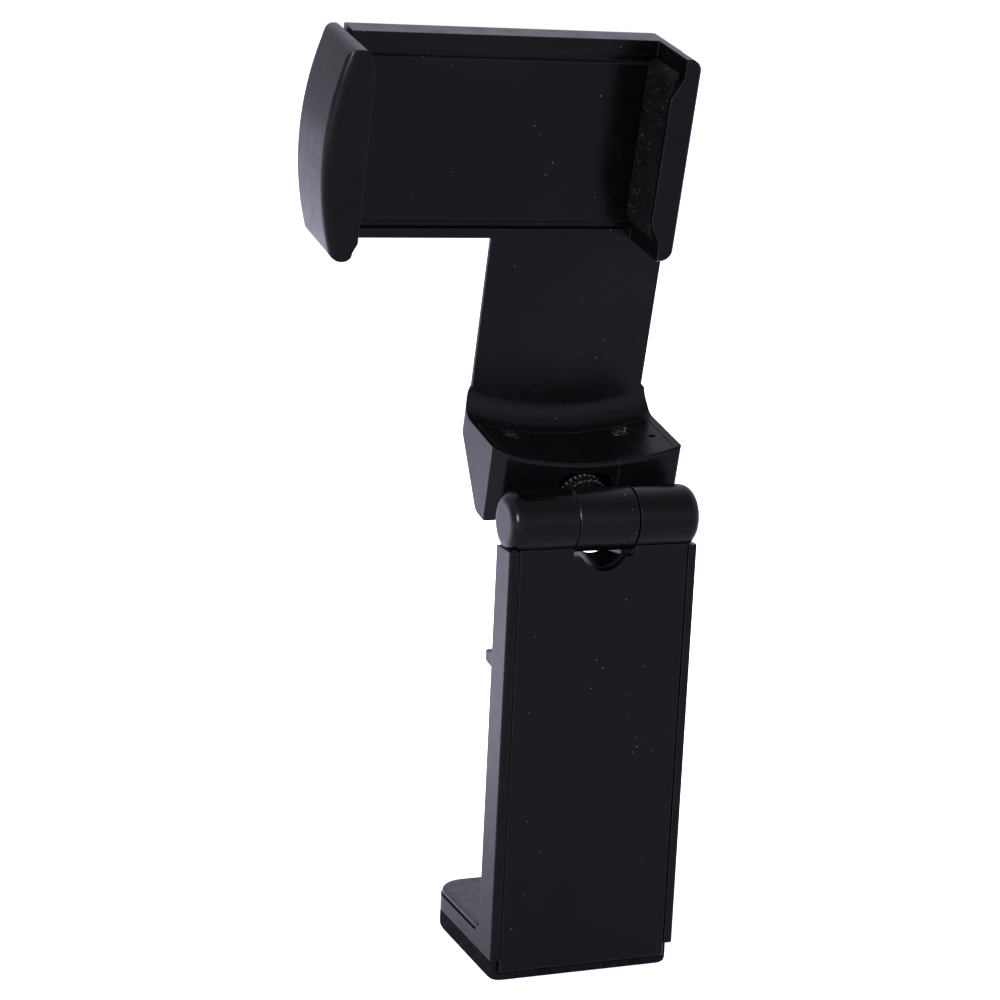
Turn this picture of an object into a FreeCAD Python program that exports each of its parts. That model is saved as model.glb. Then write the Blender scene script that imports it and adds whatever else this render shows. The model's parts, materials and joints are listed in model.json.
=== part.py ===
"""Folding clamp-on phone holder: table clamp, barrel hinge, swivelling arm and sprung phone cradle.

Row frame in millimetres: +X along the hinge barrel, +Y to the back, +Z up, origin at the centre of the
sole's underside. The arm and the cradle are drawn in the arm's own frame (x, v, w): x along the barrel,
v square to the neck towards the back, w up the neck, origin on the hinge axis. Their Placement leans them.
"""
import FreeCAD
import Part
import Sketcher
import math
import os

from FreeCAD import Placement, Rotation, Vector

DRIVING = {
    # clamp body, a shallow channel
    "body_half": 23.0, "front_y": -20.0, "back_y": -11.7, "body_bottom": 5.7, "body_top": 102.2,
    "web_front": -17.9, "web_back": -16.0, "channel_half": 20.5, "channel_top": 95.0,
    "flange_inner": 16.9, "flange_y": -13.1, "front_round": 0.7, "slot_half": 7.6, "slot_bottom": 100.1,
    # front cover and its screws
    "cover_half": 20.75, "cover_bottom": 2.6, "cover_thick": 1.9, "notch_radius": 6.2, "notch_z": 102.4,
    "notch_rise": 17.0, "seam": 0.1,
    "boss_end_y": -17.3, "cover_screw_x": 12.0, "cover_screw_low": 20.0, "cover_screw_high": 88.0,
    "small_head": 2.1, "small_shaft": 0.98, "small_bore": 1.0, "boss_outer": 2.4,
    # foot, sole and grip pad
    "foot_back": 19.7, "foot_top": 9.3, "foot_corner": 7.0, "pad_inset": 0.15, "pad_top": 11.0,
    "pad_round": 0.9,
    "pad_front": -9.6, "sole_half": 22.5, "sole_front": -19.3, "sole_back": 20.7, "sole_corner": 6.5,
    "sole_round": 1.0, "sole_front_corner": 2.4,
    # hinge
    "barrel_y": -15.0, "barrel_z": 108.0, "barrel_radius": 7.25, "barrel_round": 3.0,
    "knuckle_half": 7.35, "pin_radius": 1.6, "pin_left": -18.0, "pin_right": 22.7, "running_gap": 0.04,
    "bush_radius": 2.8, "hinge_washer_radius": 4.5, "hinge_washer_thick": 0.8, "lean": 12.5,
    # upper jaw and its carriage
    "jaw_half": 16.5, "jaw_root_y": -11.2, "jaw_tip_y": 11.0, "tip_low": 69.3, "tip_high": 71.3,
    "tip_corner": 3.2, "tip_round": 0.7,
    "root_low": 65.3, "root_high": 76.4, "jaw_pad_thick": 1.0, "jaw_pad_half": 14.5,
    "jaw_pad_root": -9.8, "jaw_pad_tip": 8.0, "carriage_half": 20.2, "carriage_low": 60.5,
    "carriage_high": 80.5, "carriage_front": -15.8, "carriage_back": -13.3, "stem_half": 16.4,
    "jaw_screw_x": 13.0, "jaw_screw_z": 70.6, "leaf_half": 6.5, "leaf_foot_y": -15.0,
    "leaf_crest": 24.0, "leaf_thick": 0.3, "leaf_low": 67.5, "leaf_high": 73.5,
    # stub and base swivel
    "swivel_w": 0.4, "stub_radius": 3.4, "stub_end": 14.4, "crown_radius": 5.8, "crown_front": 7.6,
    "crown_back": 11.2, "arch_half": 7.1, "arch_top": 7.26, "arch_corner": 3.5, "screw_radius": 1.28,
    "screw_bore": 1.3,
    # arm block and neck
    "block_half": 23.0, "arm_half": 21.4, "shoulder_low": 17.6, "shoulder_high": 19.4, "back_corner": 4.0,
    "block_front": 9.1, "block_bottom": -5.0, "rim_top": 20.0, "slant_v": 17.0, "belly_round": 3.0,
    "neck_front": 32.1, "neck_back": 34.0, "block_wall": 1.4, "side_wall": 1.6, "cradle_w": 81.4,
    "trough_radius": 72.0, "trough_fillet": 5.5, "rim_round": 0.9, "insert_thick": 1.9,
    "insert_right": 21.2, "insert_back": 26.6, "front_seam": 7.8, "wall_left": -20.2, "wall_bottom": -1.4,
    "corner_bevel": 2.6, "corner_round": 1.0, "corner_solid": 12.5, "arm_screw_x": 13.9,
    "arm_screw_v": 23.9, "arm_screw_seat": 9.6, "web_v": 12.6, "web_end": 14.2, "web_top": 7.2,
    # cradle
    "tray_low": 58.6, "tray_high": 104.15, "tray_front": 23.1, "tray_back": 29.6, "tray_left": -61.9,
    "tray_right": 12.0, "tray_floor": 28.0, "top_rail": 100.8, "bottom_rail": 60.8,
    "plate_back": 24.7, "plate_low": 62.4, "plate_high": 99.1, "plate_right": 8.2, "skirt": 1.0,
    "lip_front": 7.7, "lip_back": 9.2, "lip_inner": 5.8, "wall_inner": 8.3, "lip_step_low": 62.6,
    "lip_step_high": 99.9, "lip_step": 4.6, "cradle_round": 2.6, "boss_radius": 6.0, "boss_end": 34.1,
    "disc_radius": 11.0, "bush_outer": 7.9, "washer_radius": 8.6, "cradle_screw_left": -12.0,
    "cradle_screw_right": 3.5, "cradle_screw_low": 68.0, "cradle_screw_high": 95.0,
    "pad_low": 62.6, "pad_high": 100.8, "pad_face": 6.1, "pad_bevel": 1.6,
    # sliding jaw and its springs
    "jaw_arc": 70.5, "jaw_back": 29.4, "jaw_back_round": 3.2, "jaw_front_round": 1.9,
    "jaw_inner": -62.3, "jaw_lip_inner": -61.3, "tongue_left": -64.0, "tongue_right": -24.0,
    "tongue_front": 25.0, "tongue_back": 27.7, "tongue_low": 67.2, "tongue_high": 94.6,
    "lug_thick": 2.0, "stop_thick": 1.8, "spring_radius": 1.3, "spring_bore": 0.9,
    "spring_offset": 15.9, "spring_v": 26.35, "left_pad_back": -63.6, "left_pad_face": -62.1,
}

doc = FreeCAD.newDocument("phone_holder")
sheet = doc.addObject("Spreadsheet::Sheet", "Sizes")
for row, (alias, number) in enumerate(DRIVING.items(), start=1):
    sheet.set(f"A{row}", alias)
    sheet.set(f"B{row}", str(number))
    sheet.setAlias(f"B{row}", alias)
doc.recompute()

LEAN = Placement(Vector(0, sheet.barrel_y, sheet.barrel_z), Rotation(Vector(1, 0, 0), sheet.lean))
AXIS_TURN = {
    "x": Rotation(Vector(0, 1, 0), 90),
    "y": Rotation(Vector(1, 0, 0), -90),
    "z": Rotation(),
}
nodes = []


def cell(text):
    """An expression on the sheet: every alias in the text gets the sheet's name in front."""
    words = []
    for word in str(text).replace("(", " ( ").replace(")", " ) ").split():
        sign = "-" if word.startswith("-") and word[1:] in DRIVING else ""
        name = word.lstrip("-") if sign else word
        words.append(f"{sign}Sizes.{name}" if name in DRIVING else word)
    return " ".join(words)


def bind(item, **sizes):
    for name, text in sizes.items():
        item.setExpression(name, cell(text))


def bind_base(item, x, y, z):
    for letter, text in zip("xyz", (x, y, z)):
        item.setExpression(f"Placement.Base.{letter}", cell(text))


def box(name, x, y, z):
    """A box between two places on each axis, each place an expression on the sheet."""
    item = doc.addObject("Part::Box", name)
    bind(item, Length=f"( {x[1]} ) - ( {x[0]} )", Width=f"( {y[1]} ) - ( {y[0]} )",
         Height=f"( {z[1]} ) - ( {z[0]} )")
    bind_base(item, x[0], y[0], z[0])
    return item


def rod(name, axis, start, length, radius):
    """A cylinder along x, y or z, from its start face."""
    item = doc.addObject("Part::Cylinder", name)
    item.Placement = Placement(Vector(), AXIS_TURN[axis])
    bind(item, Radius=radius, Height=length)
    bind_base(item, *start)
    return item


def fuse(name, items):
    item = doc.addObject("Part::MultiFuse", name)
    item.Shapes = items
    item.Refine = True
    return item


def cut(name, base, tools):
    item = doc.addObject("Part::Cut", name)
    item.Base = base
    item.Tool = tools[0] if len(tools) == 1 else fuse(f"{name}_tools", tools)
    item.Refine = True
    return item


def common(name, items):
    item = doc.addObject("Part::MultiCommon", name)
    item.Shapes = items
    item.Refine = True
    return item


def edges_where(item, test):
    """Numbers of the straight or round edges whose middle point passes the test."""
    doc.recompute()
    found = []
    for number, edge in enumerate(item.Shape.Edges, start=1):
        middle = edge.valueAt((edge.FirstParameter + edge.LastParameter) / 2)
        if test(edge, middle):
            found.append(number)
    if not found:
        raise RuntimeError(f"{item.Name}: no edge to round")
    return found


def round_edges(name, base, radius, test, kind="Part::Fillet"):
    item = doc.addObject(kind, name)
    item.Base = base
    item.Edges = [(number, radius, radius) for number in edges_where(base, test)]
    return item


def bevel_edges(name, base, size, test):
    return round_edges(name, base, size, test, "Part::Chamfer")


def along(edge, axis):
    """Whether a straight edge runs along x (0), y (1) or z (2)."""
    start, end = edge.Vertexes[0].Point, edge.Vertexes[-1].Point
    span = [abs(end[i] - start[i]) for i in range(3)]
    return isinstance(edge.Curve, Part.Line) and span[axis] > 0.5 and sum(span) - span[axis] < 0.01


def near(value, target, slack=0.05):
    return abs(value - target) < slack


def outline(name, plane, points, bends=None):
    """A PartDesign body with one closed sketch on an origin plane.

    Each point is a pair of expressions. bends gives, for the edge that starts at a point's number, the
    radius of an arc that takes the edge's place; a minus sign bulges it the other way.
    """
    bends = bends or {}
    body = doc.addObject("PartDesign::Body", name)
    sketch = body.newObject("Sketcher::SketchObject", f"{name}_sketch")
    role = {"xy": "XY_Plane", "xz": "XZ_Plane", "yz": "YZ_Plane"}[plane]
    flat = next(part for part in body.Origin.OriginFeatures if part.Role == role)
    sketch.AttachmentSupport = [(flat, "")]
    sketch.MapMode = "FlatFace"
    spots = [Vector(sheet_value(a), sheet_value(b), 0) for a, b in points]
    count = len(spots)
    for number, start in enumerate(spots):
        end = spots[(number + 1) % count]
        if number in bends:
            sketch.addGeometry(arc_between(start, end, sheet_value(bends[number])), False)
        else:
            sketch.addGeometry(Part.LineSegment(start, end), False)
    for number, (start, pair) in enumerate(zip(spots, points)):
        tail = end_of(sketch.Geometry[number], start)
        following = (number - 1) % count
        head = end_of(sketch.Geometry[following], start)
        sketch.addConstraint(Sketcher.Constraint("Coincident", following, head, number, tail))
        for kind, text in zip(("DistanceX", "DistanceY"), pair):
            value = sheet_value(text)
            index = sketch.addConstraint(Sketcher.Constraint(kind, -1, 1, number, tail, value))
            sketch.setExpression(f"Constraints[{index}]", cell(text))
        if number in bends:
            size = abs(sheet_value(bends[number]))
            index = sketch.addConstraint(Sketcher.Constraint("Radius", number, size))
            sketch.setExpression(f"Constraints[{index}]", f"abs( {cell(bends[number])} )")
    return body, sketch


def sheet_value(text):
    """The number that an expression on the sheet has now."""
    probe = sheet.evalExpression(cell(text)) if not isinstance(text, (int, float)) else text
    return float(probe)


def arc_between(start, end, radius):
    """The short arc between two points; it bulges to the right of the way for a plus radius."""
    chord = end - start
    rise = math.sqrt(radius ** 2 - (chord.Length / 2) ** 2)
    left = Vector(-chord.y, chord.x, 0).normalize()
    centre = start + chord * 0.5 + left * math.copysign(rise, radius)
    ends = (start, end) if radius > 0 else (end, start)
    first, last = (math.atan2(place.y - centre.y, place.x - centre.x) for place in ends)
    turn = (last - first) % (2 * math.pi)
    return Part.ArcOfCircle(Part.Circle(centre, Vector(0, 0, 1), abs(radius)), first, first + turn)


def end_of(curve, place):
    """1 where a sketch edge starts at the place, 2 where it ends there."""
    return 1 if curve.StartPoint.distanceToPoint(place) < 1e-6 else 2


def padded(name, plane, points, length, bends=None, offset=None):
    body, sketch = outline(name, plane, points, bends)
    pad = body.newObject("PartDesign::Pad", f"{name}_pad")
    pad.Profile = sketch
    pad.setExpression("Length", cell(length))
    pad.Reversed = plane == "xz"
    if offset is not None:
        axis = {"xy": "z", "xz": "y", "yz": "x"}[plane]
        body.setExpression(f"Placement.Base.{axis}", cell(offset))
    return body


def turned(name, plane, points, axis, bends=None):
    """A solid of revolution about the sketch's own V or H axis."""
    body, sketch = outline(name, plane, points, bends)
    spin = body.newObject("PartDesign::Revolution", f"{name}_turn")
    spin.Profile = sketch
    spin.ReferenceAxis = (sketch, [axis])
    spin.Angle = 360
    return body


def node(label, items, leaning=False):
    """One sub-part of the assembly; a leaning one is drawn in the arm's frame and laid back here."""
    if leaning or len(items) > 1:
        item = doc.addObject("Part::Compound", f"{label}_node")
        item.Links = items
        item.Placement = LEAN if leaning else Placement()
    else:
        item = items[0]
    item.Label = label
    nodes.append(item)


def ring(name, start, length, inner, outer):
    """A washer or bush along y."""
    return cut(name, rod(f"{name}_outside", "y", start, length, outer),
               [rod(f"{name}_hole", "y", start, length, inner)])


def screw(name, head_start, head_length, head_radius, shaft_start, shaft_length, shaft_radius, slot):
    """A round-headed screw along y with a cross recess; slot is the recess's span along y."""
    x, _, z = head_start
    body = fuse(f"{name}_blank", [
        rod(f"{name}_head", "y", head_start, head_length, head_radius),
        rod(f"{name}_shaft", "y", shaft_start, shaft_length, shaft_radius)])
    arm, half = f"( {head_radius} ) * 0.62", "0.25"
    return cut(name, body, [
        box(f"{name}_slot_a", (f"{x} - {arm}", f"{x} + {arm}"), slot, (f"{z} - {half}", f"{z} + {half}")),
        box(f"{name}_slot_b", (f"{x} - {half}", f"{x} + {half}"), slot, (f"{z} - {arm}", f"{z} + {arm}"))])


def both_ways(text):
    return (f"-{text}", text)


FAR = "60"


# ---------------------------------------------------------------- clamp


def clamp_body():
    slab = box("body_slab", both_ways("body_half"), ("front_y", "back_y"), ("body_bottom", "body_top"))
    slab = round_edges("body_corners", slab, sheet.front_round,
                       lambda edge, middle: along(edge, 2) and near(middle.y, sheet.front_y))
    foot = box("foot_plate", both_ways("body_half"), ("back_y - 1", "foot_back"),
               ("body_bottom", "foot_top"))
    foot = round_edges("foot_corners", foot, sheet.foot_corner,
                       lambda edge, middle: along(edge, 2) and near(middle.y, sheet.foot_back))
    step = box("foot_step", both_ways("body_half"), ("back_y - 1", "pad_front - seam"),
               ("foot_top - 1", "pad_top"))
    step = bevel_edges("foot_step_bevel", step, 1.0,
                       lambda edge, middle: along(edge, 0) and near(middle.z, sheet.pad_top)
                       and middle.y > sheet.back_y)
    channel = cut("body_channel", fuse("body_blank", [slab, foot, step]), [
        box("cover_recess", ("-cover_half - seam", "cover_half + seam"), ("front_y - 5", "web_front"),
            ("0", FAR + " + " + FAR)),
        box("back_channel", both_ways("channel_half"), ("web_back", "back_y + 5"),
            ("pad_top", "channel_top"))])
    flanges = [
        box(f"flange_{side}", span, ("flange_y", "back_y"), ("pad_top - 1", "channel_top + 1"))
        for side, span in (("left", ("-channel_half - 1", "-flange_inner")),
                           ("right", ("flange_inner", "channel_half + 1")))]
    knuckles = []
    for side, start in (("left", "-body_half"), ("right", "slot_half")):
        knuckle = rod(f"knuckle_{side}", "x", (start, "barrel_y", "barrel_z"), "body_half - slot_half",
                      "barrel_radius")
        outer = -sheet.body_half if side == "left" else sheet.body_half
        knuckles.append(round_edges(f"knuckle_{side}_end", knuckle, sheet.barrel_round,
                                    lambda edge, middle, outer=outer: near(middle.x, outer)))
    whole = fuse("body_whole", [channel] + flanges + knuckles)
    cuts = [
        box("knuckle_slot", both_ways("slot_half"), ("front_y - 5", "back_y + 9"),
            ("slot_bottom", "barrel_z + 20")),
        rod("pin_bore", "x", ("pin_left - seam", "barrel_y", "barrel_z"), FAR, "pin_radius + running_gap"),
        rod("washer_seats", "x", ("-slot_half - hinge_washer_thick - seam", "barrel_y", "barrel_z"),
            "2 * ( slot_half + hinge_washer_thick + seam )", "hinge_washer_radius + seam")]
    cuts += [rod(f"screw_window_{n}", "y", (x, "web_front - 1", z), "4", "boss_outer + seam")
             for n, (x, z) in enumerate(cover_screw_places())]
    cuts.append(finger_scoop("body_scoop"))
    node("clamp_body", [cut("clamp_body_solid", whole, cuts)])


def finger_scoop(name):
    """A round groove under the centre knuckle that rises from the front cover to the back."""
    scoop = rod(name, "y", ("0", "front_y - 3", "notch_z"), "14", "notch_radius")
    scoop.Placement.Rotation = Rotation(Vector(1, 0, 0), sheet.notch_rise - 90)
    return scoop


def cover_screw_places():
    return [(x, z) for x in both_ways("cover_screw_x") for z in ("cover_screw_low", "cover_screw_high")]


def front_cover():
    plate = box("cover_plate", both_ways("cover_half"), ("front_y", "front_y + cover_thick"),
                ("cover_bottom", "body_top + 0.4"))
    plate = bevel_edges("cover_bevel", plate, 0.35, lambda edge, middle: near(middle.y, sheet.front_y)
                        and middle.z < sheet.body_top)
    places = cover_screw_places()
    bosses = [rod(f"cover_boss_{n}", "y", (x, "front_y + cover_thick - 0.2", z),
                  "boss_end_y - front_y - cover_thick + 0.2", "boss_outer")
              for n, (x, z) in enumerate(places)]
    cuts = [
        rod("barrel_room", "x", ("-body_half - 1", "barrel_y", "barrel_z"), FAR, "barrel_radius + 0.15"),
        box("cover_slot", both_ways("slot_half"), ("front_y - 1", "web_front"), ("slot_bottom", "barrel_z")),
        finger_scoop("cover_scoop")]
    cuts += [rod(f"cover_bore_{n}", "y", (x, "front_y + 0.7", z), "5", "small_bore")
             for n, (x, z) in enumerate(places)]
    node("front_cover", [cut("front_cover_solid", fuse("cover_blank", [plate] + bosses), cuts)])
    node("cover_screws", [
        screw(f"cover_screw_{n}", (x, "boss_end_y", z), "1.15", "small_head", (x, "front_y + 0.8", z),
              "boss_end_y - front_y - 0.8", "small_shaft", ("boss_end_y + 0.6", "boss_end_y + 2"))
        for n, (x, z) in enumerate(places)])


def foot_sole():
    sole = box("sole_block", both_ways("sole_half"), ("sole_front", "sole_back"), ("0", "body_bottom"))
    sole = round_edges("sole_back_corners", sole, sheet.sole_corner,
                       lambda edge, middle: along(edge, 2) and middle.y > 0)
    sole = round_edges("sole_front_corners", sole, sheet.sole_front_corner,
                       lambda edge, middle: along(edge, 2) and near(middle.y, sheet.sole_front))
    sole = round_edges("sole_foot_edge", sole, sheet.sole_round, lambda edge, middle: near(middle.z, 0))
    notch = box("sole_notch", ("-cover_half - seam", "cover_half + seam"),
                ("front_y - 1", "web_front"), ("cover_bottom - seam", "body_bottom + 1"))
    node("foot_sole", [cut("foot_sole_solid", sole, [notch])])


def foot_grip_pad():
    pad = box("grip_block", ("-body_half + pad_inset", "body_half - pad_inset"),
              ("pad_front", "foot_back - pad_inset"), ("foot_top", "pad_top"))
    pad = round_edges("grip_corners", pad, sheet.foot_corner - sheet.pad_inset,
                      lambda edge, middle: along(edge, 2) and middle.y > 0)
    pad = round_edges("foot_grip_pad_solid", pad, sheet.pad_round,
                      lambda edge, middle: near(middle.z, sheet.pad_top))
    node("foot_grip_pad", [pad])


def hinge_pin():
    pin = rod("pin_rod", "x", ("pin_left", "barrel_y", "barrel_z"), "pin_right - pin_left", "pin_radius")
    node("hinge_pin", [bevel_edges("hinge_pin_solid", pin, 0.3,
                                   lambda edge, middle: isinstance(edge.Curve, Part.Circle))])
    washers = []
    for side, start in (("left", "-slot_half - hinge_washer_thick"), ("right", "slot_half")):
        place = (start, "barrel_y", "barrel_z")
        disc = rod(f"washer_disc_{side}", "x", place, "hinge_washer_thick", "hinge_washer_radius")
        eye = rod(f"washer_eye_{side}", "x", place, "hinge_washer_thick", "pin_radius + 2 * running_gap")
        washers.append(cut(f"hinge_washer_{side}", disc, [eye]))
    node("hinge_washers", washers)


# ---------------------------------------------------------------- upper clamp jaw


def jaw_low(y):
    """Height of the jaw's sloping underside at a place on y."""
    return f"root_low + ( {y} - jaw_root_y ) * ( tip_low - root_low ) / ( jaw_tip_y - jaw_root_y )"


def upper_jaw():
    screws = [(x, "jaw_screw_z") for x in both_ways("jaw_screw_x")]
    carriage = fuse("carriage_blank", [
        box("carriage_plate", both_ways("carriage_half"), ("carriage_front", "carriage_back"),
            ("carriage_low", "carriage_high")),
        box("carriage_stem", both_ways("stem_half"), ("carriage_back - 1", "jaw_root_y"),
            ("root_low + 0.5", "root_high - 0.5"))])
    carriage_cuts = [box("leaf_pocket", ("-leaf_half - 1", "leaf_half + 1"),
                         ("carriage_front - 1", "leaf_foot_y + leaf_thick + seam"),
                         ("leaf_low - 1", "leaf_high + 1"))]
    for n, (x, z) in enumerate(screws):
        carriage_cuts.append(rod(f"carriage_sink_{n}", "y", (x, "carriage_front - 1", z), "2.2",
                                 "small_head + seam"))
        carriage_cuts.append(rod(f"carriage_hole_{n}", "y", (x, "carriage_front", z), "6", "small_bore"))
    node("jaw_carriage", [cut("jaw_carriage_solid", carriage, carriage_cuts)])

    wedge = padded("jaw_wedge", "yz", [
        ("jaw_root_y", "root_low"), ("jaw_tip_y", "tip_low"), ("jaw_tip_y", "tip_high"),
        ("jaw_root_y", "root_high")], "2 * jaw_half", offset="-jaw_half")
    wedge = round_edges("jaw_tip_corners", wedge, sheet.tip_corner,
                        lambda edge, middle: along(edge, 2) and near(middle.y, sheet.jaw_tip_y))
    wedge = round_edges("jaw_tip_edges", wedge, sheet.tip_round,
                        lambda edge, middle: along(edge, 0) and near(middle.y, sheet.jaw_tip_y))
    pocket_top = "jaw_pad_thick"
    pad = padded("jaw_pad_slab", "yz", [
        ("jaw_pad_root", jaw_low("jaw_pad_root")), ("jaw_pad_tip", jaw_low("jaw_pad_tip")),
        ("jaw_pad_tip", f"{jaw_low('jaw_pad_tip')} + {pocket_top}"),
        ("jaw_pad_root", f"{jaw_low('jaw_pad_root')} + {pocket_top}")],
        "2 * jaw_pad_half", offset="-jaw_pad_half")
    bores = [rod(f"jaw_bore_{n}", "y", (x, "jaw_root_y - 1", z), "6", "small_bore")
             for n, (x, z) in enumerate(screws)]
    node("upper_jaw", [cut("upper_jaw_solid", wedge, [pad] + bores)])
    node("upper_jaw_pad", [pad])
    node("upper_jaw_screws", [
        screw(f"jaw_screw_{n}", (x, "carriage_front + 0.1", z), "1.1", "small_head",
              (x, "carriage_front + 1.1", z), "5.4", "small_shaft",
              ("carriage_front - 1", "carriage_front + 0.7"))
        for n, (x, z) in enumerate(screws)])
    leaf = padded("leaf", "xy", [
        ("leaf_half", "leaf_foot_y"), ("leaf_half", "leaf_foot_y + leaf_thick"),
        ("-leaf_half", "leaf_foot_y + leaf_thick"), ("-leaf_half", "leaf_foot_y")],
        "leaf_high - leaf_low", bends={1: "-leaf_crest", 3: "leaf_crest"}, offset="leaf_low")
    node("brake_spring", [leaf])


# ---------------------------------------------------------------- centre knuckle and base swivel


def centre_knuckle():
    barrel = rod("centre_barrel", "x", ("-knuckle_half", "0", "0"), "2 * knuckle_half", "barrel_radius")
    barrel = bevel_edges("centre_barrel_bevel", barrel, 0.35,
                         lambda edge, middle: isinstance(edge.Curve, Part.Circle))
    stub = rod("stub", "y", ("0", "0", "swivel_w"), "stub_end", "stub_radius")
    node("centre_knuckle", [cut("centre_knuckle_solid", fuse("knuckle_blank", [barrel, stub]), [
        rod("bush_bore", "x", ("-knuckle_half - 1", "0", "0"), "2 * knuckle_half + 2", "bush_radius"),
        rod("stub_bore", "y", ("0", "4", "swivel_w"), "20", "screw_bore")])], leaning=True)
    bush_start = ("-knuckle_half", "0", "0")
    node("hinge_bush", [cut("bush_ring", rod("bush_outside", "x", bush_start, "2 * knuckle_half",
                                             "bush_radius"),
                            [rod("bush_hole", "x", bush_start, "2 * knuckle_half",
                                 "pin_radius + running_gap")])], leaning=True)


def detent_crown():
    start = ("0", "crown_front", "swivel_w")
    crown = ring("crown_ring", start, "crown_back - crown_front", "stub_radius", "crown_radius")
    teeth = []
    for n in range(30):
        angle = math.radians(12 * n)
        x = f"crown_radius * {math.sin(angle):.6f}"
        w = f"swivel_w + crown_radius * {math.cos(angle):.6f}"
        teeth.append(rod(f"crown_groove_{n}", "y", (x, "crown_front - 1", w), "4", "0.34"))
    node("detent_crown", [cut("crown_toothed", crown, teeth)], leaning=True)


def base_swivel():
    node("base_swivel_washer", [ring("base_washer", ("0", "stub_end", "swivel_w"), "0.8", "screw_bore + seam",
                                     "stub_radius + 0.5")], leaning=True)
    node("base_swivel_screw", [screw(
        "base_screw", ("0", "stub_end + 0.8", "swivel_w"), "1.4", "3.1", ("0", "5", "swivel_w"),
        "stub_end - 4.2", "screw_radius", ("stub_end + 1.5", "stub_end + 5"))], leaning=True)


# ---------------------------------------------------------------- arm


def trough_room(name):
    """Everything inside the trough: a solid of revolution about the cradle's swivel axis.

    It flares at the front, which rounds the rim of the block's front wall.
    """
    room = turned(name, "xy", [
        ("0", "0"), ("trough_radius + rim_round", "0"), ("trough_radius + rim_round", "block_front"),
        ("trough_radius", "block_front + rim_round"), ("trough_radius", "neck_front - trough_fillet"),
        ("trough_radius - trough_fillet", "neck_front"), ("0", "neck_front")], "V_Axis",
        bends={2: "-rim_round", 4: "trough_fillet"})
    room.setExpression("Placement.Base.z", cell("cradle_w"))
    return room


def arch_room(name):
    """The opening in the front wall for the stub and its crown."""
    block = box(name, both_ways("arch_half"), ("block_front - 2", "crown_back + 0.4"),
                ("block_bottom - 2", "arch_top"))
    return round_edges(f"{name}_round", block, sheet.arch_corner,
                       lambda edge, middle: along(edge, 1) and near(middle.z, sheet.arch_top))


def arm_screw_places():
    return [(x, "arm_screw_v") for x in both_ways("arm_screw_x")]


def arm_shell():
    profile = padded("arm_profile", "yz", [
        ("block_front", "rim_top"), ("block_front", "block_bottom"), ("slant_v", "block_bottom"),
        ("neck_back", "block_bottom + neck_back - slant_v"), ("neck_back", "cradle_w + arm_half"),
        ("neck_front", "cradle_w + arm_half"), ("neck_front", "rim_top")],
        "2 * block_half", offset="-block_half")
    profile = round_edges("arm_belly", profile, sheet.belly_round, lambda edge, middle: along(edge, 0)
                          and middle.z < 0 and middle.y < sheet.neck_front)
    profile = round_edges("arm_heel", profile, sheet.back_corner, lambda edge, middle: along(edge, 0)
                          and near(middle.y, sheet.neck_back) and middle.z < sheet.rim_top)
    front = padded("arm_front", "xz", [
        ("-block_half", "block_bottom - 1"), ("block_half", "block_bottom - 1"),
        ("block_half", "shoulder_low"), ("arm_half", "shoulder_high"), ("arm_half", "cradle_w"),
        ("0", "cradle_w + arm_half"), ("-arm_half", "cradle_w"), ("-arm_half", "shoulder_high"),
        ("-block_half", "shoulder_low")], FAR, bends={4: "arm_half", 5: "arm_half"})
    plan = box("arm_plan", both_ways("block_half"), ("block_front", "neck_back"),
               ("block_bottom - 1", "cradle_w + arm_half + 1"))
    plan = round_edges("arm_back_corners", plan, sheet.back_corner,
                       lambda edge, middle: along(edge, 2) and near(middle.y, sheet.neck_back))
    plan = bevel_edges("arm_front_bevel", plan, sheet.corner_bevel,
                       lambda edge, middle: along(edge, 2) and near(middle.y, sheet.block_front)
                       and middle.x < 0)
    plan = round_edges("arm_front_round", plan, sheet.corner_round,
                       lambda edge, middle: along(edge, 2) and near(middle.y, sheet.block_front)
                       and middle.x > 0)
    blank = common("arm_blank", [profile, front, plan])
    hollow = padded("block_hollow", "yz", [
        ("block_front + side_wall", "rim_top + 1"), ("block_front + side_wall", "block_bottom + block_wall"),
        ("slant_v - 0.6", "block_bottom + block_wall"),
        ("insert_back + seam", "block_bottom + block_wall + insert_back + seam - slant_v + 0.6"),
        ("insert_back + seam", "rim_top + 1")], "2 * ( block_half - side_wall )",
        offset="-block_half + side_wall")
    hollow = cut("block_room", hollow, [front_corner("hollow_corner", "0")])
    cuts = [
        trough_room("shell_trough"), hollow, arch_room("shell_arch"),
        box("wall_seat", ("wall_left - seam", "front_seam + seam"),
            ("block_front - 2", "block_front + side_wall + seam"), ("wall_bottom - seam", "rim_top + 2")),
        rod("neck_bore", "y", ("0", "neck_front - 1", "cradle_w"), "6", "bush_outer")]
    shell = cut("shell_open", blank, cuts)
    web = cut("web", box("web_plate", ("-block_half + 1", "block_half - 1"), ("web_v", "web_end"),
                         ("block_bottom + 1", "web_top")),
              [rod("web_hole", "y", ("0", "web_v - 1", "swivel_w"), "4", "stub_radius + running_gap")])
    posts = [rod(f"arm_post_{n}", "z", (x, v, "3"), "5.1", "boss_outer")
             for n, (x, v) in enumerate(arm_screw_places())]
    bores = [rod(f"arm_post_bore_{n}", "z", (x, v, "4"), "6", "small_bore")
             for n, (x, v) in enumerate(arm_screw_places())]
    node("arm_shell", [cut("arm_shell_solid", fuse("shell_whole", [shell, web] + posts), bores)],
         leaning=True)


def front_corner(name, spare):
    """The solid corner of the shell behind its bevelled front edge; spare is the room left round it."""
    return box(name, ("-block_half", f"wall_left - seam + {spare}"),
               ("block_front", f"corner_solid + {spare}"), ("block_bottom", "rim_top + 3"))


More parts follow.
